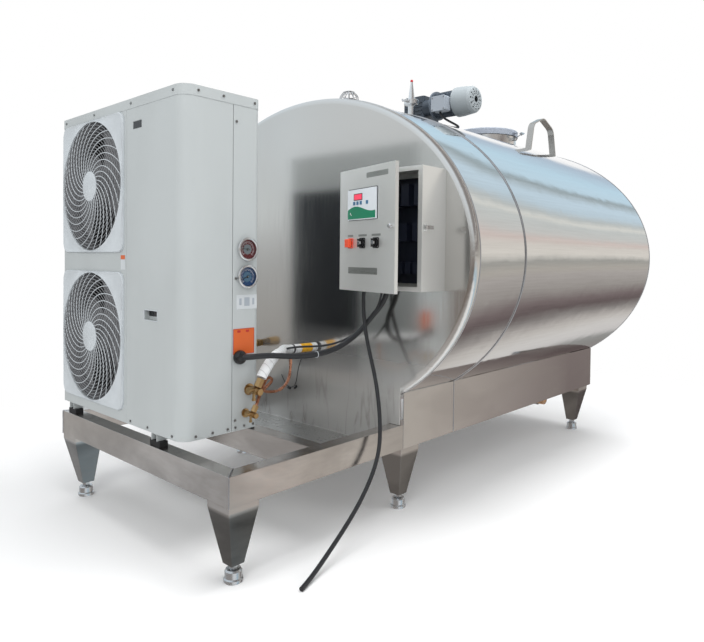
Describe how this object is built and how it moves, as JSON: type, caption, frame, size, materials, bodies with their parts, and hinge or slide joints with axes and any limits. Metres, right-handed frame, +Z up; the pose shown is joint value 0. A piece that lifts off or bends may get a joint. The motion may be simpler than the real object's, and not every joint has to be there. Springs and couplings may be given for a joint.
{
  "type": "bulk milk cooling tank",
  "caption": "Oval insulated milk cooling tank on a legged steel frame with condensing unit, control box, top agitator drive and manhole.",
  "frame": {"origin": "on the floor under the centre of the whole machine's bounding box", "axes": "+X from the condensing unit to the plain rear end, +Y to the far side from the control box, +Z up"},
  "size_m": [2.848, 1.966, 2.09],
  "materials": {
    "brushed_stainless": "satin brushed stainless sheet",
    "bright_stainless": "bright brushed stainless",
    "mirror_stainless": "near-mirror stainless sheet",
    "vessel_stainless": "polished stainless",
    "box_stainless": "fine brushed stainless",
    "foam": "rigid polyurethane foam",
    "bright_steel": "bright",
    "chromed": "polished",
    "gearbox_grey": "satin dark blue grey",
    "motor_grey": "satin blue grey",
    "terminal_grey": "satin light grey",
    "cowl_grey": "satin pale grey",
    "turned_steel": "turned",
    "bronze": "machined",
    "unit_paint": "fine textured powder coat",
    "black_rubber": "matt",
    "coil_fins": "dark coated fins",
    "black_paint": "satin black",
    "fan_plastic": "moulded",
    "guard_plastic": "moulded",
    "needle_black": "satin",
    "brass": "machined",
    "pipe_wrap": "wrapped tape",
    "copper": "drawn copper",
    "black_cable": "matt sheath",
    "electrical_plastic": "moulded",
    "controller_white": "gloss",
    "knob_black": "semi-gloss",
    "button_red": "gloss",
    "screw_zinc": "zinc plated",
    "foot_steel": "plated"
  },
  "bodies": {
    "tank": {"base_frame": "brushed_stainless", "skirt_panels": "brushed_stainless", "deck_plate": "brushed_stainless", "outer_shell": "bright_stainless", "front_end_sheet": "mirror_stainless", "rear_end_sheet": "mirror_stainless", "insulation_foam": "foam", "inner_vessel": "vessel_stainless", "evaporator_plate": "vessel_stainless", "manhole_collar": "bright_stainless", "breather": "chromed", "ladder_hook": "brushed_stainless", "cleaning_inlet": "bright_stainless", "outlet_pipe": "bright_stainless", "outlet_valve_body": "bright_stainless", "gearbox_housing": "gearbox_grey", "motor_housing": "motor_grey", "terminal_box": "terminal_grey", "fan_cowl": "cowl_grey", "unit_base_pan": "unit_paint", "unit_mounts": "black_rubber", "unit_front_panel": "unit_paint", "unit_side_panel": "unit_paint", "service_panel": "unit_paint", "unit_top_cover": "unit_paint", "condenser_coil": "coil_fins", "compressor": "black_paint", "fan_motors": "black_paint", "fan_guards": "guard_plastic", "gauge_cases": "chromed", "service_valves": "brass", "suction_line": "pipe_wrap", "liquid_line": "copper", "wiring_conduit": "black_cable", "power_cable": "black_cable", "control_box": "box_stainless", "electrical_gear": "electrical_plastic", "panel_screws": "screw_zinc"},
    "door": {"control_box_door": "box_stainless", "controller_panel": "controller_white"},
    "knob_left": {"selector_knob_left": "knob_black"},
    "knob_right": {"selector_knob_right": "knob_black"},
    "button": {"red_button": "button_red"},
    "latch": {"door_latch": "chromed"},
    "lid": {"manhole_lid": "bright_stainless"},
    "swing_bolt": {"lid_swing_bolt": "bright_steel"},
    "valve_lever": {"outlet_valve_lever": "bright_steel"},
    "agitator": {"agitator_shaft": "vessel_stainless", "worm_wheel": "bronze"},
    "rotor": {"motor_rotor": "turned_steel"},
    "fan_upper": {"upper_fan": "fan_plastic"},
    "fan_lower": {"lower_fan": "fan_plastic"},
    "needle_high": {"high_gauge_needle": "needle_black"},
    "needle_low": {"low_gauge_needle": "needle_black"},
    "foot_front_near": {"levelling_foot_front_near": "foot_steel"},
    "foot_front_far": {"levelling_foot_front_far": "foot_steel"},
    "foot_middle_near": {"levelling_foot_middle_near": "foot_steel"},
    "foot_middle_far": {"levelling_foot_middle_far": "foot_steel"},
    "foot_rear_near": {"levelling_foot_rear_near": "foot_steel"},
    "foot_rear_far": {"levelling_foot_rear_far": "foot_steel"}
  },
  "joints": [
    {"name": "door_hinge", "type": "hinge", "parent": "tank", "child": "door", "pos_m": [-0.706, -0.425, 1.2], "axis": [0, 0, -1], "range_deg": [-15, 75]},
    {"name": "left_selector_turn", "type": "hinge", "parent": "door", "child": "knob_left", "pos_m": [-0.75259, -0.59887, 1.14], "axis": [-0.9659, 0.2588, 0], "range_deg": [-45, 45]},
    {"name": "right_selector_turn", "type": "hinge", "parent": "door", "child": "knob_right", "pos_m": [-0.77743, -0.6916, 1.14], "axis": [-0.9659, 0.2588, 0], "range_deg": [-45, 45]},
    {"name": "button_press", "type": "slide", "parent": "door", "child": "button", "axis": [0.9659, -0.2588, 0], "range_m": [0, 0.004]},
    {"name": "latch_swing", "type": "hinge", "parent": "tank", "child": "latch", "pos_m": [-0.685, -0.849, 1.199], "axis": [0, 0, -1], "range_deg": [0, 160]},
    {"name": "lid_hinge", "type": "hinge", "parent": "tank", "child": "lid", "pos_m": [1.108, 0.235, 1.908], "axis": [-1, 0, 0], "range_deg": [0, 100]},
    {"name": "swing_bolt_pivot", "type": "hinge", "parent": "tank", "child": "swing_bolt", "pos_m": [1.108, -0.222, 1.87], "axis": [1, 0, 0], "range_deg": [-60, 20]},
    {"name": "outlet_lever_turn", "type": "hinge", "parent": "tank", "child": "valve_lever", "pos_m": [1.06, -0.42, 0.25], "axis": [0, 0, 1], "range_deg": [0, 90]},
    {"name": "agitator_spin", "type": "hinge", "parent": "tank", "child": "agitator", "pos_m": [0.4, 0, 1.2], "axis": [0, 0, 1], "continuous": true},
    {"name": "motor_spin", "type": "hinge", "parent": "tank", "child": "rotor", "pos_m": [0.345, -0.2, 1.95], "axis": [0, 1, 0], "continuous": true},
    {"name": "upper_fan_spin", "type": "hinge", "parent": "tank", "child": "fan_upper", "pos_m": [-1.358, 0.347, 1.367], "axis": [1, 0, 0], "continuous": true},
    {"name": "lower_fan_spin", "type": "hinge", "parent": "tank", "child": "fan_lower", "pos_m": [-1.358, 0.347, 0.743], "axis": [1, 0, 0], "continuous": true},
    {"name": "high_gauge_pointer", "type": "hinge", "parent": "tank", "child": "needle_high", "pos_m": [-1.133, -0.349, 1.109], "axis": [0, -1, 0], "range_deg": [-217, 53]},
    {"name": "low_gauge_pointer", "type": "hinge", "parent": "tank", "child": "needle_low", "pos_m": [-1.133, -0.349, 1.006], "axis": [0, -1, 0], "range_deg": [-245, 25]},
    {"name": "foot_front_near_screw", "type": "hinge", "parent": "tank", "child": "foot_front_near", "pos_m": [-1.34, -0.555, 0.05], "axis": [0, 0, 1], "continuous": true},
    {"name": "foot_front_far_screw", "type": "hinge", "parent": "tank", "child": "foot_front_far", "pos_m": [-1.34, 0.555, 0.05], "axis": [0, 0, 1], "continuous": true},
    {"name": "foot_middle_near_screw", "type": "hinge", "parent": "tank", "child": "foot_middle_near", "pos_m": [-0.472, -0.555, 0.05], "axis": [0, 0, 1], "continuous": true},
    {"name": "foot_middle_far_screw", "type": "hinge", "parent": "tank", "child": "foot_middle_far", "pos_m": [-0.472, 0.555, 0.05], "axis": [0, 0, 1], "continuous": true},
    {"name": "foot_rear_near_screw", "type": "hinge", "parent": "tank", "child": "foot_rear_near", "pos_m": [1.298, -0.555, 0.05], "axis": [0, 0, 1], "continuous": true},
    {"name": "foot_rear_far_screw", "type": "hinge", "parent": "tank", "child": "foot_rear_far", "pos_m": [1.298, 0.555, 0.05], "axis": [0, 0, 1], "continuous": true}
  ],
  "couplings": [
    {"joint": "motor_spin", "follows": "agitator_spin", "ratio": 30}
  ]
}
